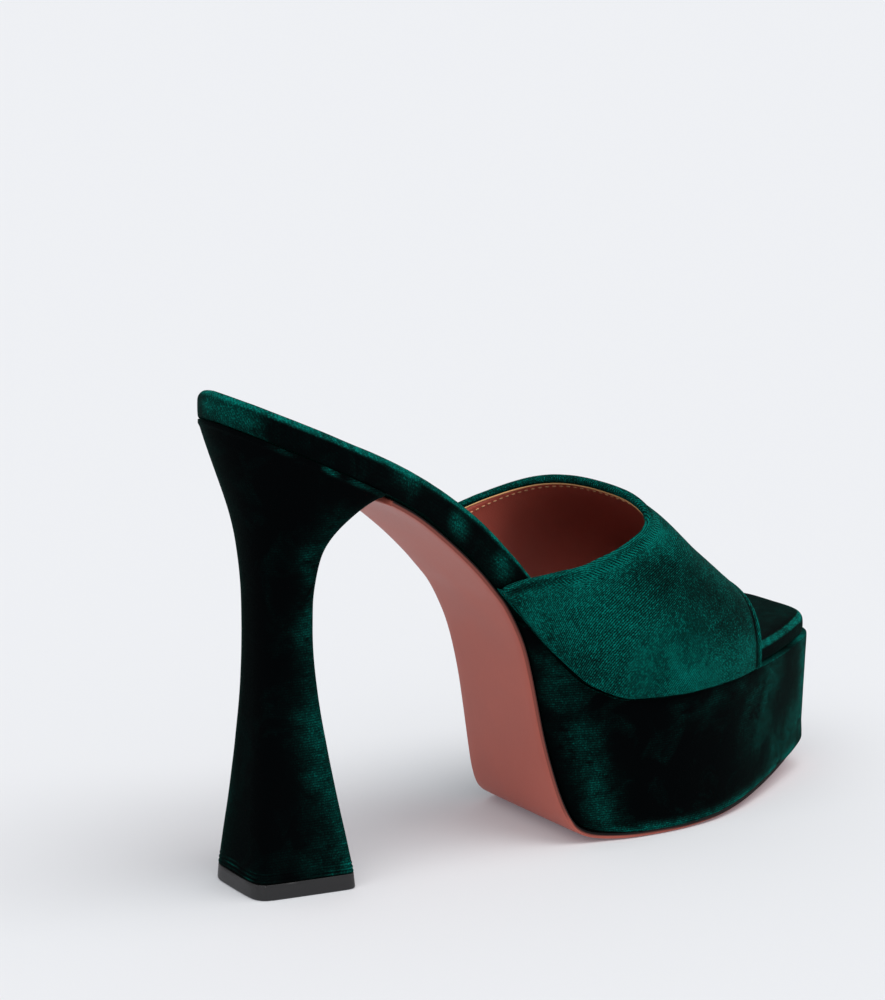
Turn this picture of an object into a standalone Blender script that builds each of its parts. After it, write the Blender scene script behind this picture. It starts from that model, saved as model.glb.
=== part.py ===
"""Right platform mule: wrapped footbed, peep-toe upper, platform, outsole, flared heel and top piece.

Sizes are in millimetres in a layout frame: x runs from the back of the heel tip to the toe,
y to the wearer's left, z up from the floor. The lateral side of this right shoe is at -y.
The shoe is then moved so that its origin is under the middle of its box.
"""
import math

import bmesh
import bpy
import numpy as np
from mathutils import Vector

MILLIMETRE = 0.001
GAP = 0.3                     # clear space between pieces that are glued together

# Seat and heel
SEAT_CENTRE_X = 20.6
SEAT_RADIUS = 27.4
SEAT_SEAM_Z = 132.9           # height of the seat seam over the back of the heel tip
SEAT_SEAM_SLOPE = -0.497
SEAT_TOP_SLOPE = -0.43
SEAT_END_X = 35.0             # the seat's underside is flat up to here
BREAST_X = 37.2               # where the heel ends and the outsole begins
SEAT_BACK_DEGREES = 4.0       # the seat's round stops this far from its very back
SEAT_STATIONS = 11
TOP_PIECE_HEIGHT = 4.6
TOP_PIECE_FLARE = 1.02
TOP_PIECE_EDGE = 0.4
HEEL_BACK_BOW = 13.0          # bow of the heel's back face, times the taper of its level

# Footbed rim
RIM_TOP_RADIUS = 2.8
RIM_TOP_DEGREES = (0, 22, 45, 68, 90)
RIM_FOOT_RADIUS = 0.9
RIM_FOOT_DEGREES = (0, 45, 90)

# Platform and outsole
PLATFORM_PROUD = 1.4          # the platform's top stands out from the footbed's edge
PROUD_RUN = 24.0              # and comes to do so over this length from its back edge
PLATFORM_EDGE_RADIUS = 0.5
PLATFORM_EDGE_DEGREES = (0, 45, 90)
PLATFORM_SHARES = (0.0, 0.35, 0.7)   # levels of its side wall, as shares of its height
OUTSOLE_THICKNESS = 2.2
OUTSOLE_INSET = 0.9           # the outsole's edge stands back from the velvet
OUTSOLE_EDGE_RADIUS = 0.5
OUTSOLE_EDGE_DEGREES = (0, 90)
SHANK_END_X = 82.0            # the outsole leaves the footbed here for the platform's back
SHANK_STEP = 4.0
FLAT_ROW = 9                  # the flat spot runs from this row of the platform to the next
SLOPE_STEP = 0.5              # step for measuring the footbed's slope

# Upper
UPPER_WALL = 2.4
UPPER_CLEARANCE = 0.5         # from the footbed's edge to the lining
UPPER_FULLNESS = 2.5          # 2 is an ellipse, more is squarer over the foot
UPPER_BULGE = 0.10
AXIS_SHARE = 0.35             # height of the arch's centre, as a share of its rise

# Folded collar band: distance in from the edge and how far it stands proud
COLLAR_COLUMNS = ("inset", "rise")
COLLAR_ROWS = (
    (0.0, 0.1),
    (1.1, 0.6),
    (2.6, 0.7),
    (4.4, 0.5),
    (5.4, 0.0),
)

# Mesh density
FOOTBED_STATIONS = 52
SOLE_STATIONS = 64
PLATFORM_STATIONS = 48
HEEL_LEVELS = 30
HEEL_SIDES = 48
UPPER_COLUMNS = 48
UPPER_ROWS = 18
SHADE_ANGLE = 40

# Footbed: edges, top and underside at stations along the shoe
FOOTBED_COLUMNS = ("x", "lateral", "medial", "top", "under")
FOOTBED_ROWS = (
    (20.6, -27.4, 27.4, 132.4, 122.7),
    (35.0, -25.7, 26.4, 125.9, 115.5),
    (48.0, -22.3, 25.0, 119.2, 108.3),
    (60.0, -20.0, 24.8, 111.6, 99.2),
    (72.0, -18.4, 25.5, 102.4, 88.2),
    (84.0, -17.3, 26.0, 90.4, 74.4),
    (96.0, -17.5, 27.4, 76.0, 60.3),
    (108.0, -20.6, 32.2, 61.6, 48.8),
    (120.0, -24.4, 38.6, 53.4, 44.4),
    (138.0, -26.2, 44.6, 51.0, 44.0),
    (156.0, -22.6, 46.6, 50.4, 44.0),
    (177.0, -13.6, 47.9, 50.2, 44.0),
    (197.0, -2.6, 48.8, 50.4, 44.2),
    (208.0, 4.6, 48.6, 50.8, 44.5),
    (214.0, 9.4, 46.6, 51.0, 44.7),
    (217.4, 14.6, 42.6, 51.1, 44.8),
    (218.6, 20.0, 37.0, 51.1, 44.8),
)

# Platform: points of its back wall and underside, and where each is joined to the footbed
PLATFORM_COLUMNS = ("x", "z", "lateral", "medial", "top_x")
PLATFORM_ROWS = (
    (86.0, 69.6, -17.0, 26.4, 87.6),
    (88.6, 63.9, -16.8, 26.6, 92.0),
    (90.9, 56.8, -16.5, 26.7, 96.0),
    (93.4, 46.6, -16.3, 26.9, 102.0),
    (95.7, 35.6, -16.6, 27.7, 108.0),
    (98.3, 24.0, -17.9, 29.1, 114.0),
    (101.4, 13.0, -19.7, 31.3, 119.0),
    (105.6, 5.8, -21.1, 33.9, 124.0),
    (112.0, 3.3, -22.4, 36.7, 129.0),
    (124.0, 2.5, -25.3, 41.4, 136.0),
    (136.0, 2.5, -26.1, 44.1, 143.0),
    (150.0, 3.0, -25.1, 46.0, 153.0),
    (163.0, 4.0, -21.6, 46.8, 164.0),
    (178.0, 5.9, -14.8, 47.8, 178.0),
    (193.0, 8.2, -6.4, 48.4, 194.0),
    (205.0, 10.6, 1.2, 48.2, 206.4),
    (212.2, 12.2, 6.8, 46.2, 213.7),
    (215.8, 12.9, 12.4, 42.0, 217.2),
    (217.0, 13.1, 17.8, 36.6, 218.5),
)

# Heel: tilted levels from the tip to the seat; square 2 is an ellipse, more is boxier
HEEL_COLUMNS = ("back_x", "back_z", "front_x", "front_z", "wide_x", "half_width",
                "back_square", "front_square", "taper")
HEEL_ROWS = (
    (-1.5, 4.9, 29.3, 4.9, 15.0, 15.9, 10.0, 12.0, 0.14),
    (-0.1, 15.0, 28.1, 15.0, 14.8, 14.8, 8.0, 9.0, 0.12),
    (1.4, 26.0, 26.6, 26.0, 14.6, 13.6, 6.0, 7.0, 0.10),
    (2.9, 40.0, 24.8, 40.0, 14.2, 12.4, 4.4, 5.0, 0.08),
    (4.2, 56.0, 22.8, 56.0, 13.8, 11.3, 3.2, 4.0, 0.06),
    (4.9, 73.0, 21.6, 72.0, 13.4, 10.9, 2.8, 3.6, 0.05),
    (4.7, 86.0, 21.6, 82.0, 13.4, 11.2, 2.6, 3.6, 0.05),
    (3.6, 98.0, 22.2, 90.5, 13.8, 12.4, 2.4, 3.8, 0.04),
    (1.6, 108.0, 23.4, 97.0, 14.6, 13.8, 2.3, 4.2, 0.03),
    (-1.0, 116.6, 25.8, 102.6, 16.0, 16.6, 2.2, 4.8, 0.02),
    (-3.8, 125.0, 29.8, 108.0, 18.0, 20.6, 2.1, 5.4, 0.01),
    (-5.7, 131.2, 33.6, 112.0, 19.6, 24.4, 2.0, 6.0, 0.0),
    (-6.8, 135.9, 36.7, 114.3, 20.6, 27.3, 2.0, 6.6, 0.0),
)

# Upper: crown of the arch over the foot at stations along the shoe
UPPER_STATION_COLUMNS = ("x", "crown_y", "crown")
UPPER_STATION_ROWS = (
    (76.0, 4.0, 125.0),
    (96.0, 2.0, 116.8),
    (108.0, 0.6, 112.4),
    (120.0, 0.2, 107.7),
    (128.0, 0.6, 104.4),
    (138.0, 2.6, 99.0),
    (156.0, 8.0, 84.4),
    (170.0, 11.0, 73.5),
    (184.0, 14.0, 63.0),
)

# Collar and peep-toe edges round the arch, from 0 degrees lateral to 180 medial
EDGE_COLUMNS = ("around", "collar", "toe")
EDGE_ROWS = (
    (0.0, 77.6, 175.8),
    (15.0, 90.6, 175.8),
    (30.0, 106.2, 175.9),
    (45.0, 121.2, 175.9),
    (52.0, 126.8, 175.9),
    (60.0, 130.6, 176.0),
    (70.0, 132.2, 176.0),
    (82.0, 131.6, 176.1),
    (98.0, 126.4, 176.3),
    (110.0, 119.6, 176.5),
    (120.0, 112.8, 176.6),
    (140.0, 96.5, 176.8),
    (160.0, 83.6, 177.0),
    (180.0, 74.0, 177.0),
)


def column(columns, rows, name):
    place = columns.index(name)
    return np.array([row[place] for row in rows], dtype=float)


def curve_through(knots, values, at):
    """Smooth curve through a table's values that never overshoots them."""
    steps = np.diff(knots)
    slopes = np.diff(values) / steps
    tangents = np.zeros(len(knots))
    tangents[0] = slopes[0]
    tangents[-1] = slopes[-1]
    for i in range(1, len(knots) - 1):
        if slopes[i - 1] * slopes[i] > 0:
            before = 2 * steps[i] + steps[i - 1]
            after = steps[i] + 2 * steps[i - 1]
            tangents[i] = (before + after) / (before / slopes[i - 1] + after / slopes[i])
    at = np.clip(np.asarray(at, dtype=float), knots[0], knots[-1])
    k = np.clip(np.searchsorted(knots, at, side="right") - 1, 0, len(steps) - 1)
    s = (at - knots[k]) / steps[k]
    return (values[k] * (1 + 2 * s) * (1 - s) ** 2 + tangents[k] * steps[k] * s * (1 - s) ** 2
            + values[k + 1] * s * s * (3 - 2 * s) + tangents[k + 1] * steps[k] * s * s * (s - 1))


def look_up(columns, rows, name, at):
    return curve_through(column(columns, rows, columns[0]), column(columns, rows, name), at)


def spread_rows(columns, rows, count):
    """Every column read at evenly spread rows of the table."""
    index = np.arange(len(rows), dtype=float)
    at = np.linspace(0.0, len(rows) - 1.0, count)
    return {name: curve_through(index, column(columns, rows, name), at) for name in columns}


def stack(x, y, z):
    return np.column_stack((x, y, z))


def paint(name, colour, roughness):
    material = bpy.data.materials.new(name)
    material.use_nodes = True
    shader = material.node_tree.nodes["Principled BSDF"]
    shader.inputs["Base Color"].default_value = (*colour, 1.0)
    shader.inputs["Roughness"].default_value = roughness
    shader.inputs["Metallic"].default_value = 0.0
    return material


def finish_piece(name, bm, material):
    bmesh.ops.recalc_face_normals(bm, faces=bm.faces[:])
    mesh = bpy.data.meshes.new(name)
    bm.to_mesh(mesh)
    bm.free()
    mesh.shade_smooth()
    mesh.set_sharp_from_angle(angle=math.radians(SHADE_ANGLE))
    mesh.materials.append(material)
    piece = bpy.data.objects.new(name, mesh)
    bpy.context.scene.collection.objects.link(piece)
    return piece


def metres(point):
    return Vector(point) * MILLIMETRE


def start_ring(bm, points, closed):
    verts = [bm.verts.new(metres(p)) for p in points]
    pairs = list(zip(verts, verts[1:]))
    if closed:
        pairs.append((verts[-1], verts[0]))
    for pair in pairs:
        bm.edges.new(pair)
    return verts


def extrude_ring(bm, ring, points, closed):
    """Extrude a row of vertices into the next row, point for point."""
    count = len(ring)
    last = count if closed else count - 1
    edges = [bm.edges.get((ring[i], ring[(i + 1) % count])) for i in range(last)]
    made = bmesh.ops.extrude_edge_only(bm, edges=edges)["geom"]
    fresh = {item for item in made if isinstance(item, bmesh.types.BMVert)}
    moved = []
    for vert, point in zip(ring, points):
        partner = next(e.other_vert(vert) for e in vert.link_edges if e.other_vert(vert) in fresh)
        partner.co = metres(point)
        moved.append(partner)
    return moved


def loft(rings):
    """Skin a row of closed rings, with a flat face over each end."""
    bm = bmesh.new()
    ring = start_ring(bm, rings[0], closed=True)
    bm.faces.new(ring)
    for points in rings[1:]:
        ring = extrude_ring(bm, ring, points, closed=True)
    bm.faces.new(ring)
    return bm


def close_with_rungs(bm, ring):
    """Close a ring whose first half runs beside its second half."""
    half = len(ring) // 2
    for i in range(half - 1):
        bm.faces.new((ring[i], ring[i + 1], ring[-2 - i], ring[-1 - i]))


def slab(low_lateral, low_medial, top_lateral, top_medial, levels):
    """A slab between two faces; a level is a share of the way up, a lift and an inset in mm."""
    low = np.vstack((low_lateral, low_medial[::-1]))
    top = np.vstack((top_lateral, top_medial[::-1]))
    rise = top - low
    rise /= np.linalg.norm(rise, axis=1)[:, None]
    bm = bmesh.new()
    ring = None
    for share, lift, inset in levels:
        points = low + (top - low) * share + rise * lift
        along = np.roll(points, -1, axis=0) - np.roll(points, 1, axis=0)
        inward = np.cross(rise, along)
        inward /= np.linalg.norm(inward, axis=1)[:, None]
        points = points + inward * inset
        if ring is None:
            ring = start_ring(bm, points, closed=True)
            close_with_rungs(bm, ring)
        else:
            ring = extrude_ring(bm, ring, points, closed=True)
    close_with_rungs(bm, ring)
    return bm


def round_foot(radius, degrees, offset=0.0):
    """Levels of a slab that round its lower edge."""
    turns = [math.radians(d) for d in degrees]
    return [(0.0, radius * (1 - math.cos(t)), offset + radius * (1 - math.sin(t))) for t in turns]


def round_top(radius, degrees, offset=0.0):
    """Levels of a slab that round its upper edge."""
    turns = [math.radians(d) for d in degrees]
    return [(1.0, -radius * (1 - math.sin(t)), offset + radius * (1 - math.cos(t))) for t in turns]


def footbed_outline(x):
    lateral = look_up(FOOTBED_COLUMNS, FOOTBED_ROWS, "lateral", x)
    medial = look_up(FOOTBED_COLUMNS, FOOTBED_ROWS, "medial", x)
    reach = np.sqrt(np.maximum(SEAT_RADIUS ** 2 - (x - SEAT_CENTRE_X) ** 2, 0.0))
    behind = x < SEAT_CENTRE_X
    return np.where(behind, -reach, lateral), np.where(behind, reach, medial)


def footbed_under(x):
    seam = SEAT_SEAM_Z + SEAT_SEAM_SLOPE * x
    under = look_up(FOOTBED_COLUMNS, FOOTBED_ROWS, "under", x)
    return np.where(x < SEAT_END_X, seam, under)


def footbed_top(x):
    top = look_up(FOOTBED_COLUMNS, FOOTBED_ROWS, "top", x)
    return top + SEAT_TOP_SLOPE * np.minimum(x - SEAT_CENTRE_X, 0.0)


def make_footbed(material):
    turns = np.radians(np.linspace(SEAT_BACK_DEGREES, 90.0, SEAT_STATIONS))
    seat = SEAT_CENTRE_X - SEAT_RADIUS * np.cos(turns)
    body = spread_rows(FOOTBED_COLUMNS, FOOTBED_ROWS, FOOTBED_STATIONS)["x"]
    x = np.concatenate((seat[:-1], body))
    lateral, medial = footbed_outline(x)
    under = footbed_under(x)
    top = footbed_top(x)
    levels = round_foot(RIM_FOOT_RADIUS, RIM_FOOT_DEGREES) + round_top(RIM_TOP_RADIUS, RIM_TOP_DEGREES)
    bm = slab(stack(x, lateral, under), stack(x, medial, under),
              stack(x, lateral, top), stack(x, medial, top), levels)
    return finish_piece("footbed", bm, material)


def shank_knots():
    """Points of the outsole's line under the shank, where it lies on the footbed."""
    x = np.arange(BREAST_X + GAP, SHANK_END_X, SHANK_STEP)
    lateral, medial = footbed_outline(x)
    return {"x": x, "z": footbed_under(x), "lateral": lateral, "medial": medial, "top_x": x}


def sole_path(first_row, count):
    """The outsole's line: under the shank, down the platform's back wall and along to the toe."""
    knots = {}
    for name, values in shank_knots().items():
        knots[name] = np.concatenate((values, column(PLATFORM_COLUMNS, PLATFORM_ROWS, name)))
    length = np.concatenate(([0.0], np.cumsum(np.hypot(np.diff(knots["x"]), np.diff(knots["z"])))))
    rows = np.arange(len(length), dtype=float)
    flat_row = len(rows) - len(PLATFORM_ROWS) + FLAT_ROW
    before = round(count * (flat_row - first_row) / (rows[-1] - first_row - 1))
    stations = np.concatenate((np.linspace(first_row, flat_row, before),
                               np.linspace(flat_row + 1, rows[-1], count - before)))
    at = curve_through(rows, length, stations)
    return {name: curve_through(length, values, at) for name, values in knots.items()}


def below_footbed(x, distance):
    """Points at a distance under the footbed, measured square to its underside."""
    slope = (footbed_under(x + SLOPE_STEP) - footbed_under(x - SLOPE_STEP)) / (2 * SLOPE_STEP)
    lean = np.sqrt(1 + slope ** 2)
    return x + distance * slope / lean, footbed_under(x) - distance / lean


def beside(x, y, distance):
    """A line in plan moved sideways, to its left where the distance is above nought."""
    run_x = np.gradient(x)
    run_y = np.gradient(y)
    length = np.hypot(run_x, run_y)
    return x - distance * run_y / length, y + distance * run_x / length


def make_platform(material):
    path = sole_path(len(shank_knots()["x"]), PLATFORM_STATIONS)
    top_lateral, top_medial = footbed_outline(path["top_x"])
    top_x, top_z = below_footbed(path["top_x"], GAP)
    proud = PLATFORM_PROUD * np.clip((path["top_x"] - path["top_x"][0]) / PROUD_RUN, 0.0, 1.0)
    lateral_x, lateral_y = beside(top_x, top_lateral, -proud)
    medial_x, medial_y = beside(top_x, top_medial, proud)
    levels = [(share, 0.0, 0.0) for share in PLATFORM_SHARES]
    levels += round_top(PLATFORM_EDGE_RADIUS, PLATFORM_EDGE_DEGREES)
    bm = slab(stack(path["x"], path["lateral"], path["z"]), stack(path["x"], path["medial"], path["z"]),
              stack(lateral_x, lateral_y, top_z), stack(medial_x, medial_y, top_z), levels)
    return finish_piece("platform", bm, material)


def make_outsole(material):
    path = sole_path(0, SOLE_STATIONS)
    run_x = np.gradient(path["x"])
    run_z = np.gradient(path["z"])
    length = np.hypot(run_x, run_z)
    down_x = run_z / length
    down_z = -run_x / length
    lateral = path["lateral"] + OUTSOLE_INSET
    medial = path["medial"] - OUTSOLE_INSET
    upper_x = path["x"] + down_x * GAP
    upper_z = path["z"] + down_z * GAP
    lower_x = upper_x + down_x * OUTSOLE_THICKNESS
    lower_z = upper_z + down_z * OUTSOLE_THICKNESS
    levels = round_foot(OUTSOLE_EDGE_RADIUS, OUTSOLE_EDGE_DEGREES) + [(1.0, 0.0, 0.0)]
    bm = slab(stack(lower_x, lateral, lower_z), stack(lower_x, medial, lower_z),
              stack(upper_x, lateral, upper_z), stack(upper_x, medial, upper_z), levels)
    return finish_piece("outsole", bm, material)


def heel_ring(level):
    """One tilted level of the heel, as a ring of points."""
    points = []
    for k in range(HEEL_SIDES):
        turn = 2 * math.pi * (k + 0.5) / HEEL_SIDES
        forward = math.cos(turn)
        sideways = math.sin(turn)
        end, square = ("front_x", "front_square") if forward > 0 else ("back_x", "back_square")
        along = abs(forward) ** (2 / level[square])
        across = math.copysign(abs(sideways) ** (2 / level[square]), sideways)
        lean = along if forward > 0 else -along
        x = level["wide_x"] + (level[end] - level["wide_x"]) * along
        y = level["half_width"] * across * (1 + level["taper"] * lean)
        if forward < 0:
            x += HEEL_BACK_BOW * level["taper"] * across ** 2 * along
        share = (x - level["back_x"]) / (level["front_x"] - level["back_x"])
        points.append((x, y, level["back_z"] + (level["front_z"] - level["back_z"]) * share))
    return points


def make_heel(material):
    levels = spread_rows(HEEL_COLUMNS, HEEL_ROWS, HEEL_LEVELS)
    rings = []
    for k in range(HEEL_LEVELS):
        rings.append(heel_ring({name: values[k] for name, values in levels.items()}))
    return finish_piece("heel", loft(rings), material)


def make_top_piece(material):
    base = dict(zip(HEEL_COLUMNS, HEEL_ROWS[0]))
    middle = 0.5 * (base["back_x"] + base["front_x"])
    ring = [(x - middle, y) for x, y, z in heel_ring(base)]
    bevel = TOP_PIECE_FLARE - TOP_PIECE_EDGE / base["half_width"]
    sizes = ((bevel, 0.0), (TOP_PIECE_FLARE, TOP_PIECE_EDGE), (1.0, TOP_PIECE_HEIGHT))
    rings = [[(middle + x * scale, y * scale, z) for x, y in ring] for scale, z in sizes]
    return finish_piece("top_piece", loft(rings), material)


def arch_point(x, around, proud):
    """A point of the upper's outer face, at a station and an angle over the foot."""
    lateral, medial = (float(side) for side in footbed_outline(np.array(x)))
    stand_off = UPPER_CLEARANCE + UPPER_WALL
    foot = float(footbed_under(np.array(x)))
    crown_y = float(look_up(UPPER_STATION_COLUMNS, UPPER_STATION_ROWS, "crown_y", x))
    crown = float(look_up(UPPER_STATION_COLUMNS, UPPER_STATION_ROWS, "crown", x))
    turn = math.radians(around)
    cosine = math.cos(turn)
    across = abs(cosine) ** (2 / UPPER_FULLNESS) + UPPER_BULGE * math.sin(turn) * abs(cosine)
    rise = abs(math.sin(turn)) ** (2 / UPPER_FULLNESS)
    side = lateral - stand_off if cosine > 0 else medial + stand_off
    y = crown_y + (side - crown_y) * across
    z = foot + (crown - foot) * rise
    out_y = y - crown_y
    out_z = z - foot - AXIS_SHARE * (crown - foot)
    reach = math.hypot(out_y, out_z)
    return x, y + proud * out_y / reach, z + proud * max(out_z, 0.0) / reach


def make_upper(material):
    around = np.linspace(0.0, 180.0, UPPER_COLUMNS)
    collar = look_up(EDGE_COLUMNS, EDGE_ROWS, "collar", around)
    toe = look_up(EDGE_COLUMNS, EDGE_ROWS, "toe", around)
    insets = column(COLLAR_COLUMNS, COLLAR_ROWS, "inset")
    rises = column(COLLAR_COLUMNS, COLLAR_ROWS, "rise")
    rows = [(collar + inset, rise) for inset, rise in zip(insets, rises)]
    body = collar + insets[-1]
    rows += [(body + (toe - body) * share, 0.0) for share in np.linspace(0.0, 1.0, UPPER_ROWS)[1:]]
    bm = bmesh.new()
    ring = None
    for stations, rise in rows:
        points = [arch_point(x, turn, rise) for x, turn in zip(stations, around)]
        if ring is None:
            ring = start_ring(bm, points, closed=False)
        else:
            ring = extrude_ring(bm, ring, points, closed=False)
    piece = finish_piece("upper", bm, material)
    wall = piece.modifiers.new("wall", "SOLIDIFY")
    wall.thickness = UPPER_WALL * MILLIMETRE
    wall.offset = -1.0
    wall.use_rim = True
    wall.use_even_offset = True
    return piece


def centre_on_floor(pieces):
    """Carry every piece on one empty, so that the origin is under the middle of the shoe's box."""
    corners = [Vector(corner) for piece in pieces for corner in piece.bound_box]
    low = [min(c[axis] for c in corners) for axis in range(3)]
    high = [max(c[axis] for c in corners) for axis in range(3)]
    shoe = bpy.data.objects.new("shoe", None)
    bpy.context.scene.collection.objects.link(shoe)
    shoe.location = (-0.5 * (low[0] + high[0]), -0.5 * (low[1] + high[1]), -low[2])
    for piece in pieces:
        piece.parent = shoe


def build():
    for old in list(bpy.data.objects):
        bpy.data.objects.remove(old, do_unlink=True)
    pieces = [
        make_footbed(paint("footbed_velvet", (0.002, 0.045, 0.035), 0.85)),
        make_platform(paint("platform_velvet", (0.002, 0.03, 0.024), 0.85)),
        make_outsole(paint("outsole_leather", (0.38, 0.115, 0.1), 0.45)),
        make_heel(paint("heel_velvet", (0.002, 0.03, 0.024), 0.85)),
        make_top_piece(paint("top_piece_rubber", (0.02, 0.02, 0.022), 0.4)),
        make_upper(paint("upper_velvet", (0.002, 0.06, 0.045), 0.8)),
    ]
    bpy.context.view_layer.update()
    centre_on_floor(pieces)


build()
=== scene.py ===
import math

import bmesh
import bpy
import numpy as np
from mathutils import Matrix, Vector, noise


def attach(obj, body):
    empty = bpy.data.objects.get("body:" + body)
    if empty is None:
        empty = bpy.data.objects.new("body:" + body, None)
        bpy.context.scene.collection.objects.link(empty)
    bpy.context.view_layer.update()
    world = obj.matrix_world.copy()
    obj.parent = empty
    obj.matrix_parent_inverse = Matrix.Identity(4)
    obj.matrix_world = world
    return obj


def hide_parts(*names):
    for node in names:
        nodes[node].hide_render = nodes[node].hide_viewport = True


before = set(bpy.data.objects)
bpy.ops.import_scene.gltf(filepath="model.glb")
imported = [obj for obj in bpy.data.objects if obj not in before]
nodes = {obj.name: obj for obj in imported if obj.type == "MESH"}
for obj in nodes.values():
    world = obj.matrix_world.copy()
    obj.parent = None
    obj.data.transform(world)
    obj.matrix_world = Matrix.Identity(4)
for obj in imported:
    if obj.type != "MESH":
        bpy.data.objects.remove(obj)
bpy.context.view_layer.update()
millimetre = 0.001
print("frame loaded:", sorted(nodes))

# camera, floor and lights

cameraRig = {
    "place": (-0.4650, -0.6850, 0.2682),
    "heading": 57.6,      # degrees from +X, seen from above
    "pitch": 11.5,        # degrees down
    "lens": 100.8,
    "sensor": 36.0,
    "farthest": 60.0,     # metres
}
camera = bpy.data.objects.new("camera", bpy.data.cameras.new("camera"))
camera.data.lens = cameraRig["lens"]
camera.data.sensor_width = cameraRig["sensor"]
camera.data.clip_end = cameraRig["farthest"]
camera.location = cameraRig["place"]
camera.rotation_euler = (math.radians(90 - cameraRig["pitch"]), 0, math.radians(cameraRig["heading"] - 90))
bpy.context.scene.collection.objects.link(camera)
bpy.context.scene.camera = camera
bpy.context.scene.view_settings.view_transform = "Standard"

studio = {
    "floorSize": 40.0,
    "floorColour": (0.70, 0.705, 0.715),
    "floorGlow": (0.085, 0.091, 0.104),
    "floorRoughness": 0.9,
    "sky": (0.97, 0.98, 1.0),
    "skyStrength": 0.50,
    "skySeen": 0.885,     # what a low view shows above the floor's far edge
    "suns": {             # heading, height and softness in degrees
        "overhead": {"heading": -60, "height": 68, "strength": 1.35, "softness": 45},
        "toeSide": {"heading": -15, "height": 32, "strength": 0.32, "softness": 40},
        "heelSide": {"heading": -150, "height": 48, "strength": 0.72, "softness": 50},
    },
}


def makeStudio():
    bm = bmesh.new()
    bmesh.ops.create_grid(bm, x_segments=1, y_segments=1, size=studio["floorSize"] / 2)
    mesh = bpy.data.meshes.new("floor")
    bm.to_mesh(mesh)
    bm.free()
    floor = bpy.data.objects.new("floor", mesh)
    bpy.context.scene.collection.objects.link(floor)
    material = bpy.data.materials.new("paleFloor")
    material.use_nodes = True
    shader = material.node_tree.nodes["Principled BSDF"]
    shader.inputs["Base Color"].default_value = (*studio["floorColour"], 1)
    shader.inputs["Roughness"].default_value = studio["floorRoughness"]
    shader.inputs["Specular IOR Level"].default_value = 0.0
    shader.inputs["Emission Color"].default_value = (*studio["floorGlow"], 1)
    shader.inputs["Emission Strength"].default_value = 1.0
    mesh.materials.append(material)
    world = bpy.data.worlds.new("studioSky")
    world.use_nodes = True
    background = world.node_tree.nodes["Background"]
    background.inputs["Color"].default_value = (*studio["sky"], 1)
    rays = world.node_tree.nodes.new("ShaderNodeLightPath")
    strength = world.node_tree.nodes.new("ShaderNodeMix")
    strength.inputs[2].default_value = studio["skyStrength"]
    strength.inputs[3].default_value = studio["skySeen"]
    world.node_tree.links.new(rays.outputs["Is Camera Ray"], strength.inputs[0])
    world.node_tree.links.new(strength.outputs[0], background.inputs["Strength"])
    bpy.context.scene.world = world
    for name, sun in studio["suns"].items():
        data = bpy.data.lights.new(name, "SUN")
        data.energy = sun["strength"]
        data.angle = math.radians(sun["softness"])
        lamp = bpy.data.objects.new(name, data)
        lamp.rotation_euler = (0, math.radians(90 - sun["height"]), math.radians(sun["heading"]))
        bpy.context.scene.collection.objects.link(lamp)


makeStudio()
print("studio ready")

# shader groups


def newGroup(name, inputs, outputs):
    group = bpy.data.node_groups.new(name, "ShaderNodeTree")
    for label, kind, value in inputs:
        socket = group.interface.new_socket(name=label, in_out="INPUT", socket_type=kind)
        if value is not None:
            socket.default_value = value
    for label, kind in outputs:
        group.interface.new_socket(name=label, in_out="OUTPUT", socket_type=kind)
    return group, group.nodes.new("NodeGroupInput"), group.nodes.new("NodeGroupOutput")


def addNode(tree, kind, values=None, **settings):
    node = tree.nodes.new(kind)
    for name, value in settings.items():
        setattr(node, name, value)
    for key, value in (values or {}).items():
        node.inputs[key].default_value = value
    return node


def addMath(tree, operation, first, second, clamp=False):
    node = addNode(tree, "ShaderNodeMath", operation=operation, use_clamp=clamp)
    for place, value in enumerate((first, second)):
        if isinstance(value, (int, float)):
            node.inputs[place].default_value = value
        else:
            tree.links.new(value, node.inputs[place])
    return node.outputs["Value"]


def times(tree, first, second, clamp=False):
    return addMath(tree, "MULTIPLY", first, second, clamp)


def plus(tree, first, second, clamp=False):
    return addMath(tree, "ADD", first, second, clamp)


def centre(tree, value):
    # a texture's value about its middle
    return addMath(tree, "SUBTRACT", value, 0.5)


def addNoise(tree, vector, scale, detail, rough, distortion=0.0):
    node = addNode(tree, "ShaderNodeTexNoise",
                   {"Scale": scale, "Detail": detail, "Roughness": rough, "Distortion": distortion})
    tree.links.new(vector, node.inputs["Vector"])
    return node.outputs["Fac"]


def addMapping(tree, vector, turn, scale):
    node = addNode(tree, "ShaderNodeMapping", {"Rotation": [math.radians(a) for a in turn], "Scale": scale})
    tree.links.new(vector, node.inputs["Vector"])
    return node.outputs["Vector"]


def addMix(tree, factor, first, second):
    node = addNode(tree, "ShaderNodeMix", data_type="RGBA")
    for place, value in ((0, factor), (6, first), (7, second)):
        if hasattr(value, "links"):
            tree.links.new(value, node.inputs[place])
        else:
            node.inputs[place].default_value = value
    return node.outputs[2]


velvetPile = {
    "patches": (85.0, 4.0, 0.6, 0.9),     # waves to the metre, detail, roughness, distortion
    "streaks": (520.0, 3.0, 0.6, 0.5),
    "streakTurn": (25, 0, 10),
    "streakScale": (0.45, 0.45, 1.0),
    "grain": (2100.0, 2.0, 0.65),
    "crush": 2.6,                         # how much patches and streaks change the lie
    "smear": (0.52, 3.0),                 # where a smear begins in the patches, and its gain
    "tips": (9.0, 0.45),                  # gain of the grain's bright tips, painted glints, and their mean
    "heights": (0.6, 0.5),                # of grain and streaks in the bump
}


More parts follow.
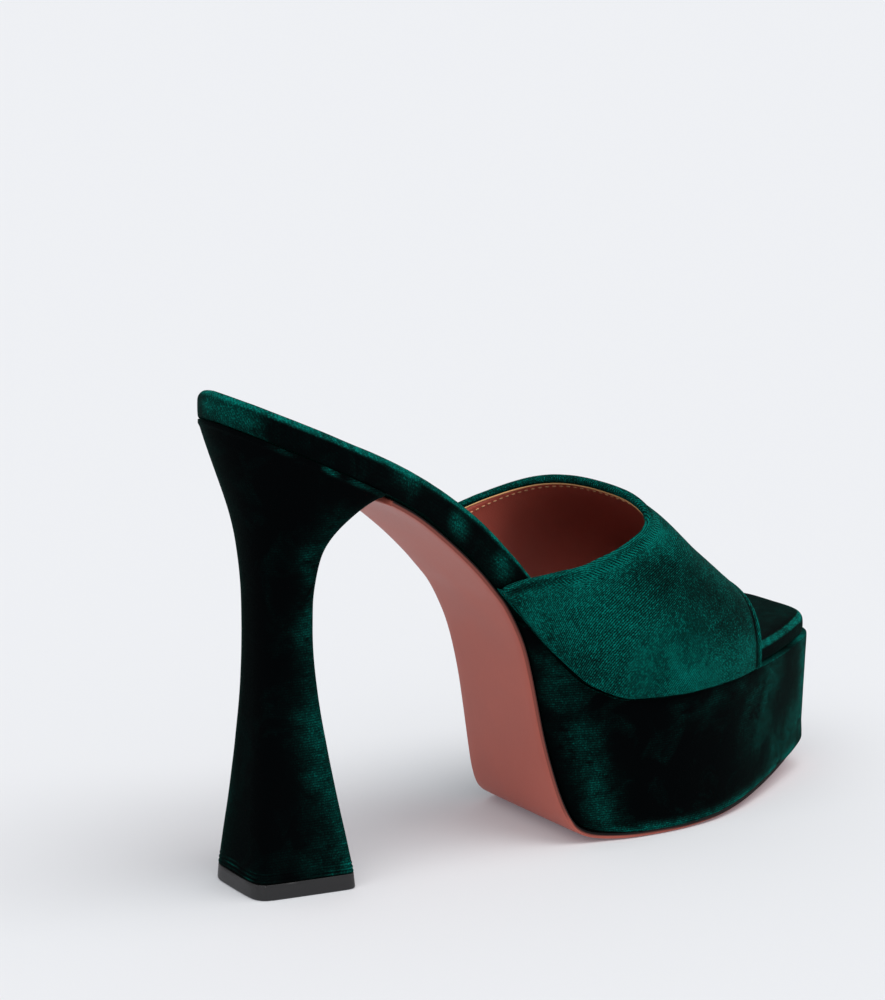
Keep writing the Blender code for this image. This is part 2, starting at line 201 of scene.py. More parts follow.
def makeVelvetGroup():
    # pile that lies one way or the other; the colour runs from Dark to Bright with the pile's random lie and
    # with painted sheen, painted highlight and painted shade
    group, start, end = newGroup(
        "velvetNap",
        [("Vector", "NodeSocketVector", None), ("Nap", "NodeSocketFloat", 0.5),
         ("Weave", "NodeSocketFloat", 1.0), ("Crush", "NodeSocketFloat", 1.0),
         ("Fleck", "NodeSocketFloat", 1.0), ("Smear", "NodeSocketFloat", 0.1),
         ("Grain", "NodeSocketFloat", 1.0), ("Dark", "NodeSocketColor", (0, 0, 0, 1)),
         ("Bright", "NodeSocketColor", (0, 0.2, 0.15, 1))],
        [("Color", "NodeSocketColor"), ("Height", "NodeSocketFloat")])
    pile = velvetPile
    vector = start.outputs["Vector"]
    drawn = addMapping(group, vector, pile["streakTurn"], pile["streakScale"])
    patches = addNoise(group, vector, *pile["patches"])
    streaks = addNoise(group, drawn, *pile["streaks"])
    grain = addNoise(group, vector, *pile["grain"])
    lie = times(group, centre(group, patches), start.outputs["Crush"])
    fleck = times(group, centre(group, streaks), start.outputs["Fleck"])
    crush = times(group, plus(group, lie, fleck), pile["crush"])
    brushed = times(group, start.outputs["Nap"], plus(group, 1.0, crush))
    smearFrom, smearGain = pile["smear"]
    smear = times(group, addMath(group, "SUBTRACT", patches, smearFrom), smearGain, True)
    smear = times(group, times(group, smear, streaks), start.outputs["Smear"])
    lean = times(group, plus(group, brushed, smear), start.outputs["Weave"])
    tipGain, tipMean = pile["tips"]
    tips = times(group, addMath(group, "MAXIMUM", centre(group, grain), 0.0), tipGain)
    tips = times(group, addMath(group, "SUBTRACT", tips, tipMean), start.outputs["Grain"])
    mask = times(group, lean, plus(group, 1.0, tips), True)
    group.links.new(addMix(group, mask, start.outputs["Dark"], start.outputs["Bright"]), end.inputs["Color"])
    grainHeight, streakHeight = pile["heights"]
    height = plus(group, times(group, grain, grainHeight), times(group, streaks, streakHeight))
    group.links.new(height, end.inputs["Height"])
    return group


def makeTwillGroup():
    # fine ribs of the cloth that carries the pile
    group, start, end = newGroup(
        "twillRibs",
        [("Vector", "NodeSocketVector", None), ("Ribs", "NodeSocketFloat", 430.0),
         ("Depth", "NodeSocketFloat", 0.3)],
        [("Fac", "NodeSocketFloat")])
    wave = addNode(group, "ShaderNodeTexWave", {"Distortion": 0.6, "Detail": 2.0, "Detail Scale": 2.0},
                   wave_type="BANDS", bands_direction="X")
    group.links.new(start.outputs["Vector"], wave.inputs["Vector"])
    group.links.new(start.outputs["Ribs"], wave.inputs["Scale"])
    shade = times(group, centre(group, wave.outputs["Fac"]), 2.0)
    shade = times(group, shade, start.outputs["Depth"])
    group.links.new(plus(group, 1.0, shade), end.inputs["Fac"])
    return group


leatherHide = {
    "clouds": (38.0, 4.0, 0.55, 0.4),     # waves to the metre, detail, roughness, distortion
    "fibres": (700.0, 3.0, 0.55),
    "fibreTurn": (0, 25, 0),
    "fibreScale": (0.3, 1.0, 0.3),
    "pores": 1300.0,                      # to the metre
    "tones": (0.8, 0.15),                 # how far clouds and fibres change the tone
    "heights": (1.5, 0.4),                # of pores and fibres in the bump
    "roughness": (0.36, 0.22),            # the least, and what the clouds add
    "darkEdgeRoughness": 0.4,                 # added where the edge is darkened, by dye and by painted shade
    "specular": 0.28,
    "bump": (0.12, 0.0003),
}


def makeLeatherGroup():
    # smooth leather: cloudy tone, pores and drawn fibres
    group, start, end = newGroup(
        "leatherGrain",
        [("Vector", "NodeSocketVector", None), ("Light", "NodeSocketColor", (0.5, 0.2, 0.18, 1)),
         ("Deep", "NodeSocketColor", (0.3, 0.1, 0.09, 1)), ("Tone", "NodeSocketFloat", 0.5)],
        [("Color", "NodeSocketColor"), ("Height", "NodeSocketFloat"), ("Roughness", "NodeSocketFloat")])
    hide = leatherHide
    vector = start.outputs["Vector"]
    drawn = addMapping(group, vector, hide["fibreTurn"], hide["fibreScale"])
    clouds = addNoise(group, vector, *hide["clouds"])
    fibres = addNoise(group, drawn, *hide["fibres"])
    pores = addNode(group, "ShaderNodeTexVoronoi", {"Scale": hide["pores"], "Randomness": 1.0},
                    feature="DISTANCE_TO_EDGE")
    group.links.new(vector, pores.inputs["Vector"])
    cloudTone, fibreTone = hide["tones"]
    cloudy = times(group, centre(group, clouds), cloudTone)
    fibrous = times(group, centre(group, fibres), fibreTone)
    tone = plus(group, start.outputs["Tone"], plus(group, cloudy, fibrous), True)
    group.links.new(addMix(group, tone, start.outputs["Deep"], start.outputs["Light"]), end.inputs["Color"])
    poreHeight, fibreHeight = hide["heights"]
    raised = times(group, pores.outputs["Distance"], poreHeight, True)
    group.links.new(plus(group, raised, times(group, fibres, fibreHeight)), end.inputs["Height"])
    least, added = hide["roughness"]
    group.links.new(plus(group, least, times(group, clouds, added)), end.inputs["Roughness"])
    return group


velvetGroup = makeVelvetGroup()
twillGroup = makeTwillGroup()
leatherGroup = makeLeatherGroup()


def startMaterial(name):
    material = bpy.data.materials.new(name)
    material.use_nodes = True
    tree = material.node_tree
    return material, tree, tree.nodes["Principled BSDF"]


def addBump(tree, shader, height, strength, distance):
    bump = addNode(tree, "ShaderNodeBump", {"Strength": strength, "Distance": distance})
    tree.links.new(height, bump.inputs["Height"])
    tree.links.new(bump.outputs["Normal"], shader.inputs["Normal"])


velvetLook = {
    # dark and bright are the one velvet shaded and lit: bright is painted sheen where the pile catches the
    # light
    "dark": (0.0005, 0.0010, 0.0013, 1),
    "bright": (0.0008, 0.165, 0.132, 1),
    "sheenTint": (0.01, 0.60, 0.46, 1),
    "sheen": 0.06,
    "sheenRoughness": 0.28,
    "roughness": 0.9,
    "specular": 0.02,
    "bump": (0.6, 0.0004),
}


def addGathers(tree, napAndSheen, gathers):
    # short pulls in the cloth where it is sewn down behind the collar, painted as bands of light and shade on
    # the pile, not shaped in the mesh
    pulled = addNode(tree, "ShaderNodeAttribute", attribute_name="gather")
    place = addNode(tree, "ShaderNodeUVMap", uv_map="collar")
    oneWave = 0.314   # a wave texture at this scale repeats once to the unit
    wave = addNode(tree, "ShaderNodeTexWave",
                   {"Scale": oneWave / (gathers["spacing"] * millimetre), "Distortion": 2.0, "Detail": 2.0},
                   wave_type="BANDS", bands_direction="X")
    tree.links.new(place.outputs["UV"], wave.inputs["Vector"])
    lift = times(tree, addMath(tree, "SUBTRACT", wave.outputs["Fac"], gathers["mean"]), gathers["napAndSheen"])
    return plus(tree, napAndSheen, times(tree, lift, pulled.outputs["Fac"]))


def makeVelvet(name, cloth):
    material, tree, shader = startMaterial(name)
    place = addNode(tree, "ShaderNodeTexCoord")
    # mask of the pile's lie together with painted sheen, painted highlights and painted shade
    napAndSheen = addNode(tree, "ShaderNodeAttribute", attribute_name="napAndSheen")
    pile = addNode(tree, "ShaderNodeGroup", node_tree=velvetGroup)
    ribs = addNode(tree, "ShaderNodeGroup", node_tree=twillGroup)
    woven = place.outputs["Object"]
    if "weaveMap" in cloth:
        woven = addNode(tree, "ShaderNodeUVMap", uv_map=cloth["weaveMap"]).outputs["UV"]
    tree.links.new(addMapping(tree, woven, cloth["weaveTurn"], (1, 1, 1)), ribs.inputs["Vector"])
    ribs.inputs["Depth"].default_value = cloth["weave"]
    tree.links.new(place.outputs["Object"], pile.inputs["Vector"])
    lie = napAndSheen.outputs["Fac"]
    if "gathers" in cloth:
        lie = addGathers(tree, lie, cloth["gathers"])
    tree.links.new(lie, pile.inputs["Nap"])
    tree.links.new(ribs.outputs["Fac"], pile.inputs["Weave"])
    for socket in ("Crush", "Fleck", "Smear", "Grain"):
        pile.inputs[socket].default_value = cloth[socket.lower()]
    pile.inputs["Dark"].default_value = velvetLook["dark"]
    pile.inputs["Bright"].default_value = velvetLook["bright"]
    tree.links.new(pile.outputs["Color"], shader.inputs["Base Color"])
    shader.inputs["Roughness"].default_value = velvetLook["roughness"]
    shader.inputs["Specular IOR Level"].default_value = velvetLook["specular"]
    shader.inputs["Sheen Weight"].default_value = velvetLook["sheen"]
    shader.inputs["Sheen Roughness"].default_value = velvetLook["sheenRoughness"]
    shader.inputs["Sheen Tint"].default_value = velvetLook["sheenTint"]
    addBump(tree, shader, pile.outputs["Height"], *velvetLook["bump"])
    return material


def makeLeather(name, light, deep, tone, edge=None):
    material, tree, shader = startMaterial(name)
    place = addNode(tree, "ShaderNodeTexCoord")
    hide = addNode(tree, "ShaderNodeGroup", node_tree=leatherGroup)
    tree.links.new(place.outputs["Object"], hide.inputs["Vector"])
    hide.inputs["Light"].default_value = light
    hide.inputs["Deep"].default_value = deep
    hide.inputs["Tone"].default_value = tone
    colour = hide.outputs["Color"]
    roughness = hide.outputs["Roughness"]
    # the edge mask darkens the edge with dye and with painted shade
    if edge:
        rim = addNode(tree, "ShaderNodeAttribute", attribute_name="edge")
        colour = addMix(tree, rim.outputs["Fac"], colour, edge)
        matt = times(tree, rim.outputs["Fac"], leatherHide["darkEdgeRoughness"])
        roughness = plus(tree, roughness, matt, True)
    tree.links.new(colour, shader.inputs["Base Color"])
    tree.links.new(roughness, shader.inputs["Roughness"])
    shader.inputs["Specular IOR Level"].default_value = leatherHide["specular"]
    addBump(tree, shader, hide.outputs["Height"], *leatherHide["bump"])
    return material


rubberLook = {
    "specks": (1500.0, 3.0, 0.6),         # waves to the metre, detail, roughness
    "smears": (130.0, 4.0, 0.6),
    "smearTurn": (0, 0, 20),
    "smearScale": (0.4, 0.4, 1.6),
    "shares": (0.35, 0.65),               # of specks and smears in the tone
    "shades": (0.7, 1.35),                # of the colour, from deep to light
    "roughness": (0.3, 0.3),              # the least, and what the smears add
    "bump": (0.15, 0.0002),
}


def makeRubber(name, colour):
    material, tree, shader = startMaterial(name)
    look = rubberLook
    place = addNode(tree, "ShaderNodeTexCoord").outputs["Object"]
    specks = addNoise(tree, place, *look["specks"])
    smears = addNoise(tree, addMapping(tree, place, look["smearTurn"], look["smearScale"]), *look["smears"])
    speckShare, smearShare = look["shares"]
    tone = plus(tree, times(tree, specks, speckShare), times(tree, smears, smearShare), True)
    deep, light = [[part * shade for part in colour[:3]] + [1] for shade in look["shades"]]
    tree.links.new(addMix(tree, tone, deep, light), shader.inputs["Base Color"])
    least, added = look["roughness"]
    tree.links.new(plus(tree, least, times(tree, smears, added)), shader.inputs["Roughness"])
    addBump(tree, shader, specks, *look["bump"])
    return material


threadLook = {"twist": (3200.0, 2.0, 0.6), "roughness": 0.6, "bump": (0.3, 0.0001)}


def makeThread(name, light, deep):
    material, tree, shader = startMaterial(name)
    place = addNode(tree, "ShaderNodeTexCoord")
    twist = addNoise(tree, place.outputs["Object"], *threadLook["twist"])
    tree.links.new(addMix(tree, twist, deep, light), shader.inputs["Base Color"])
    shader.inputs["Roughness"].default_value = threadLook["roughness"]
    addBump(tree, shader, twist, *threadLook["bump"])
    return material


print("shader groups ready")

# mesh helpers


def finishPiece(name, bm, material, modifiers=()):
    mesh = bpy.data.meshes.new(name)
    bm.to_mesh(mesh)
    bm.free()
    mesh.shade_smooth()
    mesh.materials.append(material)
    piece = bpy.data.objects.new(name, mesh)
    bpy.context.scene.collection.objects.link(piece)
    for kind, settings in modifiers:
        modifier = piece.modifiers.new(kind.lower(), kind)
        for key, value in settings.items():
            setattr(modifier, key, value)
    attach(piece, "root")
    return piece


quads = {"merge": 0.00002, "flat": 50, "square": 80}   # metres, then degrees


def refineNode(name, levels, creaseFrom, crease):
    # a merged copy of a CAD node, back in quads and smoothed by subdivision
    bm = bmesh.new()
    bm.from_mesh(nodes[name].data)
    bmesh.ops.remove_doubles(bm, verts=bm.verts[:], dist=quads["merge"])
    bmesh.ops.join_triangles(bm, faces=bm.faces[:], angle_face_threshold=math.radians(quads["flat"]),
                             angle_shape_threshold=math.radians(quads["square"]))
    layer = bm.edges.layers.float.new("crease_edge")
    for edge in bm.edges:
        if edge.calc_face_angle(0.0) > math.radians(creaseFrom):
            edge[layer] = crease
    mesh = bpy.data.meshes.new(name + "Rough")
    bm.to_mesh(mesh)
    bm.free()
    rough = bpy.data.objects.new(name + "Rough", mesh)
    bpy.context.scene.collection.objects.link(rough)
    smooth = rough.modifiers.new("smooth", "SUBSURF")
    smooth.levels = smooth.render_levels = levels
    graph = bpy.context.evaluated_depsgraph_get()
    fine = bpy.data.meshes.new_from_object(rough.evaluated_get(graph))
    bpy.data.objects.remove(rough, do_unlink=True)
    bm = bmesh.new()
    bm.from_mesh(fine)
    bpy.data.meshes.remove(fine)
    bm.normal_update()
    return bm


def smoothStep(low, high, value):
    share = min(max((value - low) / (high - low), 0.0), 1.0)
    return share * share * (3 - 2 * share)


def bell(distance, width):
    return math.exp(-(distance / width) ** 2)


def nearLine(point, start, end):
    run = end - start
    share = (point - start).dot(run) / max(run.length_squared, 1e-12)
    return (point - start - run * min(max(share, 0.0), 1.0)).length


def curveThrough(rows, column, at):
    # smooth curve through a table's column that never overshoots it
    table = np.array(rows, dtype=float)
    knots = table[:, 0]
    values = table[:, column]
    steps = np.diff(knots)
    slopes = np.diff(values) / steps
    tangents = np.concatenate((slopes[:1], np.zeros(len(steps) - 1), slopes[-1:]))
    for i in range(1, len(steps)):
        if slopes[i - 1] * slopes[i] > 0:
            before = 2 * steps[i] + steps[i - 1]
            after = steps[i] + 2 * steps[i - 1]
            tangents[i] = (before + after) / (before / slopes[i - 1] + after / slopes[i])
    at = np.clip(at, knots[0], knots[-1])
    k = np.clip(np.searchsorted(knots, at, side="right") - 1, 0, len(steps) - 1)
    s = (at - knots[k]) / steps[k]
    return (values[k] * (1 + 2 * s) * (1 - s) ** 2 + tangents[k] * steps[k] * s * (1 - s) ** 2
            + values[k + 1] * s * s * (3 - 2 * s) + tangents[k + 1] * steps[k] * s * s * (s - 1))


# facings turned up towards the light that get painted sheen: rounded edges, then tops
litFacings = {"edge": (0.12, 0.55), "top": (0.88, 0.985)}   # from a side to an edge, to the top


def brushNapAndSheen(bm, look):
    # how the pile lies, and painted sheen: levels for sides, rounded edges and tops facing up towards the
    # light, then strokes of painted light and shade and of pile patches from place to place in mm
    layer = bm.verts.layers.float.new("napAndSheen")
    strokes = [(Vector(a) * millimetre, Vector(b) * millimetre, reach * millimetre, strength)
               for a, b, reach, strength in look["strokes"]]
    slopes = look.get("slopes", [(-1, 0), (1, 0)])
    rakes = curveThrough(slopes, 1, np.array([vert.co.x / millimetre for vert in bm.verts]))
    for vert, rake in zip(bm.verts, rakes):
        facing = vert.normal.dot(Vector((-rake, 0, 1)).normalized())
        napAndSheen = look["side"] + (look["edge"] - look["side"]) * smoothStep(*litFacings["edge"], facing)
        napAndSheen += (look["top"] - look["edge"]) * smoothStep(*litFacings["top"], facing)
        for start, end, reach, strength in strokes:
            napAndSheen += strength * bell(nearLine(vert.co, start, end), reach)
        vert[layer] = max(napAndSheen, 0.0)


def creaseBy(bm, creases):
    # soft troughs and ridges from place to place, in mm
    lines = [(Vector(a) * millimetre, Vector(b) * millimetre, width * millimetre, height * millimetre)
             for a, b, width, height in creases]
    lifts = [sum(height * bell(nearLine(vert.co, start, end), width) for start, end, width, height in lines)
             for vert in bm.verts]
    for vert, lift in zip(bm.verts, lifts):
        vert.co += vert.normal * lift
    bm.normal_update()


rippleShares = {"coarse": 0.6, "fine": 0.4}


def ripple(bm, height, coarse, fine):
    # slight unevenness of cloth glued over a form, height in mm
    for vert in bm.verts:
        lift = noise.noise(vert.co * coarse) * rippleShares["coarse"]
        lift += noise.noise(vert.co * fine) * rippleShares["fine"]
        vert.co += vert.normal * height * millimetre * lift
    bm.normal_update()


# footbed

footbedWrap = {
    "levels": 2,
    "crease": (60, 0.5),          # degrees between faces, then how sharp
    "ripple": (0.12, 60, 190),    # mm, then waves to the metre
    "cloth": {"weaveTurn": (0, 50, 40), "weave": 0.25,
              "crush": 1.3, "fleck": 0.7, "smear": 0.05, "grain": 1.0},
    # painted sheen along the rim's rounded top, with strokes of painted light and shade and the pile's own
    # patches
    "napAndSheen": {
        "side": 0.005, "edge": 0.62, "top": 0.03,
        "slopes": [               # x, slope of the footbed's top
            (-113, -0.43), (-72, -0.46), (-46, -0.62), (-23, -1.0), (-10, -1.2), (1, -1.15),
            (13, -0.7), (31, -0.12), (60, 0),
        ],
        "strokes": [
            ((-113, -8, 141), (-108, -25, 138), 3.2, 0.45),
            ((-113, -13, 134.5), (-107, -27.5, 131.5), 2.2, 0.42),
            ((-66, -35, 121), (-60, -34, 117), 3, 0.12), ((-45.5, -31, 104), (-43, -30, 101), 2.2, 0.30),
            ((-28.5, -28.5, 89.5), (-27, -28.4, 87), 2.4, 0.34), ((-12, -28, 70), (-8, -28, 66), 4, 0.08),
            ((-113, 10, 139), (-100, 14, 130), 7, 0.40), ((-60, 16, 112), (-30, 15, 92), 4, 0.25),
            ((60, 38, 47), (95, 37, 47), 5, 0.20), ((76, -24, 49), (100, -7, 49), 3, -0.20),
        ],
    },
}


def makeFootbed():
    look = footbedWrap
    bm = refineNode("footbed", look["levels"], *look["crease"])
    ripple(bm, *look["ripple"])
    brushNapAndSheen(bm, look["napAndSheen"])
    piece = finishPiece("footbedWrap", bm, makeVelvet("footbedVelvet", look["cloth"]))
    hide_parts("footbed")


makeFootbed()
print("footbed wrapped")

# platform

platformWrap = {
    "levels": 2,
    "crease": (50, 0.75),
    "ripple": (0.10, 45, 150),
    "turn": {                     # the cloth's lower edge
        "facing": (-0.9, -0.35),  # how far its vertices look down
        "drop": 2.3, "dropAlong": (-4, 46),       # mm down, growing along the shoe
        "ease": 0.8, "easeAlong": (84, 106),      # mm outwards at the toe
        "rows": 3,
    },
    "cloth": {"weaveTurn": (0, 90, 0), "weave": 0.5,
              "crush": 1.7, "fleck": 0.9, "smear": 0.10, "grain": 1.0},
    # painted highlights along the lower edge and at the toe, with patches of painted sheen and of the pile
    "napAndSheen": {
        "side": 0.0, "edge": 0.12, "top": 0.12,
        "strokes": [
            ((-3, -31, 34), (6, -34, 10), 4.5, 0.15), ((-10, -28.5, 58), (-7, -30, 48), 5, 0.08),
            ((6, -34, 2.2), (40, -37, 1.2), 1.8, 0.60), ((40, -37, 1.2), (72, -26, 4.4), 1.8, 0.45),
            ((72, -26, 4.4), (98, -9, 9.0), 2.0, 0.40), ((68, -27, 26), (78, -22, 38), 8, 0.13),
            ((104, -4, 18), (104, -4, 42), 5, 0.34), ((84, -19, 12), (96, -10, 20), 7, 0.16),
            ((30, -38, 38), (60, -31, 40), 3, 0.05),
            ((0, 26, 40), (14, 32, 12), 7, 0.22), ((40, 37, 5), (96, 37, 11), 1.4, 0.35),
            ((70, 38, 28), (80, 38, 34), 9, 0.15), ((108, 20, 16), (109, 18, 40), 6, 0.26),
        ],
    },
}


def lowerCloth(bm, turn):
    # the lower edge comes down over the outsole's edge, with finer rows above it
    low, high = turn["facing"]
    hem = {vert for vert in bm.verts if low < vert.normal.z < high}
    rim = [edge for edge in bm.edges
           if len(hem.intersection(edge.verts)) == 1 and min(vert.co.x for vert in edge.verts) > 0
           and max(vert.normal.z for vert in edge.verts) > high]
    for vert in hem:
        x = vert.co.x / millimetre
        drop = turn["drop"] * smoothStep(*turn["dropAlong"], x)
        ease = turn["ease"] * smoothStep(*turn["easeAlong"], x)
        outward = Vector((vert.normal.x, vert.normal.y, 0)).normalized()
        vert.co.z -= drop * millimetre
        vert.co += outward * ease * millimetre
    bmesh.ops.subdivide_edges(bm, edges=rim, cuts=turn["rows"], use_grid_fill=True)
    bm.normal_update()


def makePlatform():
    look = platformWrap
    bm = refineNode("platform", look["levels"], *look["crease"])
    lowerCloth(bm, look["turn"])
    ripple(bm, *look["ripple"])
    brushNapAndSheen(bm, look["napAndSheen"])
    piece = finishPiece("platformWrap", bm, makeVelvet("platformVelvet", look["cloth"]))
    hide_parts("platform")


makePlatform()
print("platform wrapped")

# heel

heelWrap = {
    "levels": 2,
    "crease": (50, 0.8),
    "ripple": (0.08, 55, 160),
    "hem": {"from": 5.0, "to": 9.0, "loops": 16, "spacing": 1.25, "height": 0.11, "napAndSheen": 0.30,
            "fadeIn": 0.4, "fadeOut": 2.0, "wander": 0.9, "waves": 60,
            "patchWaves": 110, "patchFrom": (-0.2, 0.3)},
    "seat": {"height": 79.97, "slope": -0.497, "rise": 0.28, "reach": (1.5, 0.4)},   # mm, under the footbed
    "ridge": {"below": [0.3, 0.6, 0.9, 1.2, 1.5, 1.8, 2.3, 2.9], "at": 0.9, "width": 0.5, "height": 0.28,
              "napAndSheen": 0.75, "patchWaves": 140, "patchFrom": (-0.35, 0.45),
              "along": [(-106, 0.0), (-102, 0.3), (-93, 1.0), (-87, 0.7), (-78, 0.1), (-60, 0.0)]},
    "cloth": {"weaveTurn": (0, 90, 0), "weave": 0.4,
              "crush": 1.5, "fleck": 0.9, "smear": 0.05, "grain": 0.9},
    # patches of painted sheen on the lit side and on the flared foot, with the pile's own patches
    "napAndSheen": {
        "side": 0.0, "edge": 0.0, "top": 0.0,
        "strokes": [
            ((-82, -28, 108), (-86, -21.5, 78), 5, 0.08), ((-86, -21.5, 78), (-84, -23.5, 45), 5, 0.14),
            ((-84, -23.5, 45), (-76, -27, 8), 7, 0.14), ((-88, -26, 10), (-78, -27.5, 10), 5, 0.06),
            ((-90, -24, 98), (-88, -23, 90), 2.5, 0.10), ((-90, -21.5, 74), (-86, -22, 70), 2.5, 0.10),
            ((-92, -21, 52), (-86, -23, 49), 2.2, 0.10), ((-88, -24.5, 33), (-82, -26, 30), 2.5, 0.12),
            ((-82, 2, 90), (-84, 1, 40), 6, 0.10), ((-84, 1, 40), (-78, 5, 8), 8, 0.13),
            ((-106, 0, 30), (-108, 2, 8), 6, 0.05),
        ],
    },
}


def makeHeel():
    look = heelWrap
    bm = refineNode("heel", look["levels"], *look["crease"])
    hem = look["hem"]
    seat = look["seat"]
    ridge = look["ridge"]
    upright = Vector((-seat["slope"], 0, 1)).normalized()
    heights = np.linspace(hem["from"], hem["to"], hem["loops"])
    cuts = [((0, 0, height * millimetre), (0, 0, 1)) for height in heights]
    cuts += [((0, 0, (seat["height"] - below / upright.z) * millimetre), upright) for below in ridge["below"]]
    for place, facing in cuts:
        bmesh.ops.bisect_plane(bm, geom=bm.verts[:] + bm.edges[:] + bm.faces[:], dist=1e-7,
                               plane_co=place, plane_no=facing)
    bm.normal_update()
    ripple(bm, *look["ripple"])
    brushNapAndSheen(bm, look["napAndSheen"])
    layer = bm.verts.layers.float["napAndSheen"]
    thick = curveThrough(ridge["along"], 1, np.array([vert.co.x / millimetre for vert in bm.verts]))
    for vert, share in zip(bm.verts, thick):
        below = (seat["height"] + seat["slope"] * vert.co.x / millimetre - vert.co.z / millimetre) * upright.z
        fold = bell(below - ridge["at"], ridge["width"])
        vert.co += vert.normal * ridge["height"] * millimetre * fold
        fold *= share * smoothStep(*ridge["patchFrom"], noise.noise(vert.co * ridge["patchWaves"]))
        vert.co += upright * seat["rise"] * millimetre * smoothStep(*seat["reach"], below)
        # painted highlight along the ridge's crest
        vert[layer] += ridge["napAndSheen"] * fold
    for vert in bm.verts:
        height = vert.co.z / millimetre
        share = smoothStep(hem["to"], hem["to"] - hem["fadeOut"], height)
        share *= smoothStep(hem["from"], hem["from"] + hem["fadeIn"], height)
        wander = hem["wander"] * noise.noise(vert.co * hem["waves"])
        fold = math.sin(2 * math.pi * (height / hem["spacing"] + wander))
        patch = smoothStep(*hem["patchFrom"], noise.noise(vert.co * hem["patchWaves"]))
        vert.co += vert.normal * millimetre * hem["height"] * fold * share
        # painted highlight on the crests of the hem's folds
        vert[layer] += hem["napAndSheen"] * max(fold, 0.0) * share * patch
    bm.normal_update()
    piece = finishPiece("heelWrap", bm, makeVelvet("heelVelvet", look["cloth"]))
    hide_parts("heel")


makeHeel()
print("heel wrapped")

# outsole

outsoleSkin = {
    "levels": 2,
    "crease": (40, 0.35),
    "light": (0.53, 0.138, 0.100, 1),
    "deep": (0.39, 0.088, 0.062, 1),
    "tone": 0.5,
    # the edge's dark colour: dye towards the toe, painted shade where the edge meets the velvet
    "edge": (0.006, 0.004, 0.004, 1),
    "edgeDyed": (30, 70),         # mm along the shoe, where the whole edge goes from bare to dyed
    "sides": (0.45, 0.85),        # how far a face looks sideways to count as edge
    "shadeFrom": 0.1,             # facing of the edge's side that gets painted shade against the velvet
    "shadeWidth": 0.4,
    "shadeEase": 0.45,            # nearer the floor the painted shade reaches further round
    "easeFrom": (10, 5),          # mm from the floor
    "uprightDarkening": 0.55,              # how dark the edge is made where the sole stands upright
    "uprightDarkeningFrom": (5, 12),       # mm from the floor
}


def makeOutsole():
    look = outsoleSkin
    bm = refineNode("outsole", look["levels"], *look["crease"])
    layer = bm.verts.layers.float.new("edge")
    for vert in bm.verts:
        dyed = smoothStep(*look["edgeDyed"], vert.co.x / millimetre)
        height = vert.co.z / millimetre
        # painted shade on the edge's side that faces the velvet
        towardsVelvet = vert.normal.z + vert.normal.x
        least = look["shadeFrom"] - look["shadeEase"] * smoothStep(*look["easeFrom"], height)
        paintedShade = smoothStep(least, least + look["shadeWidth"], towardsVelvet)
        outer = smoothStep(*look["sides"], abs(vert.normal.y))
        upright = look["uprightDarkening"] * smoothStep(*look["uprightDarkeningFrom"], height)
        vert[layer] = max(paintedShade, max(dyed, upright) * outer)
    material = makeLeather("outsoleLeather", look["light"], look["deep"], look["tone"], look["edge"])
    piece = finishPiece("outsoleSkin", bm, material)
    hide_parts("outsole")


makeOutsole()
print("outsole laid")

# top piece

topPiece = {"levels": 2, "crease": (30, 0.92), "colour": (0.0095, 0.0093, 0.0104, 1)}


def makeTopPiece():
    look = topPiece
    bm = refineNode("top_piece", look["levels"], *look["crease"])
    material = makeRubber("topPieceRubber", look["colour"])
    piece = finishPiece("topPieceBlock", bm, material)
    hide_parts("top_piece")


makeTopPiece()
print("top piece set")

# upper

upperForm = {
    "shift": (106.545, 10.897),   # mm, from the pattern's origin to the frame's
    "standOff": 2.9,              # outer face from the footbed's edge
    "fullness": 2.5,              # an ellipse has 2
    "bulge": 0.10,                # swell of the sides
    "sampleX": 150.0,             # where the length over the foot is measured
    "samples": 1441,
    "probe": 0.4,                 # mm and degrees, half a step for the normals
    "edges": [                    # x, lateral, medial, underside of the footbed
        (72.0, -18.4, 25.5, 88.2), (84.0, -17.3, 26.0, 74.4), (96.0, -17.5, 27.4, 60.3),
        (108.0, -20.6, 32.2, 48.8), (120.0, -24.4, 38.6, 44.4), (138.0, -26.2, 44.6, 44.0),
        (156.0, -22.6, 46.6, 44.0), (177.0, -13.6, 47.9, 44.0), (197.0, -2.6, 48.8, 44.2),
    ],
    "crown": [                    # x, place of the crown across, its height
        (76.0, 4.0, 125.0), (96.0, 2.0, 116.8), (108.0, 0.6, 112.4), (120.0, 0.2, 107.7),
        (128.0, 0.6, 104.4), (138.0, 2.6, 99.0), (156.0, 8.0, 84.4), (170.0, 11.0, 73.5), (184.0, 14.0, 63.0),
    ],
    "openings": [                 # degrees over the foot, collar x, toe x
        (0.0, 77.6, 175.8), (15.0, 90.6, 175.8), (30.0, 106.2, 175.9), (45.0, 121.2, 175.9),
        (52.0, 126.8, 175.9), (60.0, 130.6, 176.0), (70.0, 132.2, 176.0), (82.0, 131.6, 176.1),
        (98.0, 126.4, 176.3), (110.0, 119.6, 176.5), (120.0, 112.8, 176.6), (140.0, 96.5, 176.8),
        (160.0, 83.6, 177.0), (180.0, 74.0, 177.0),
    ],
}

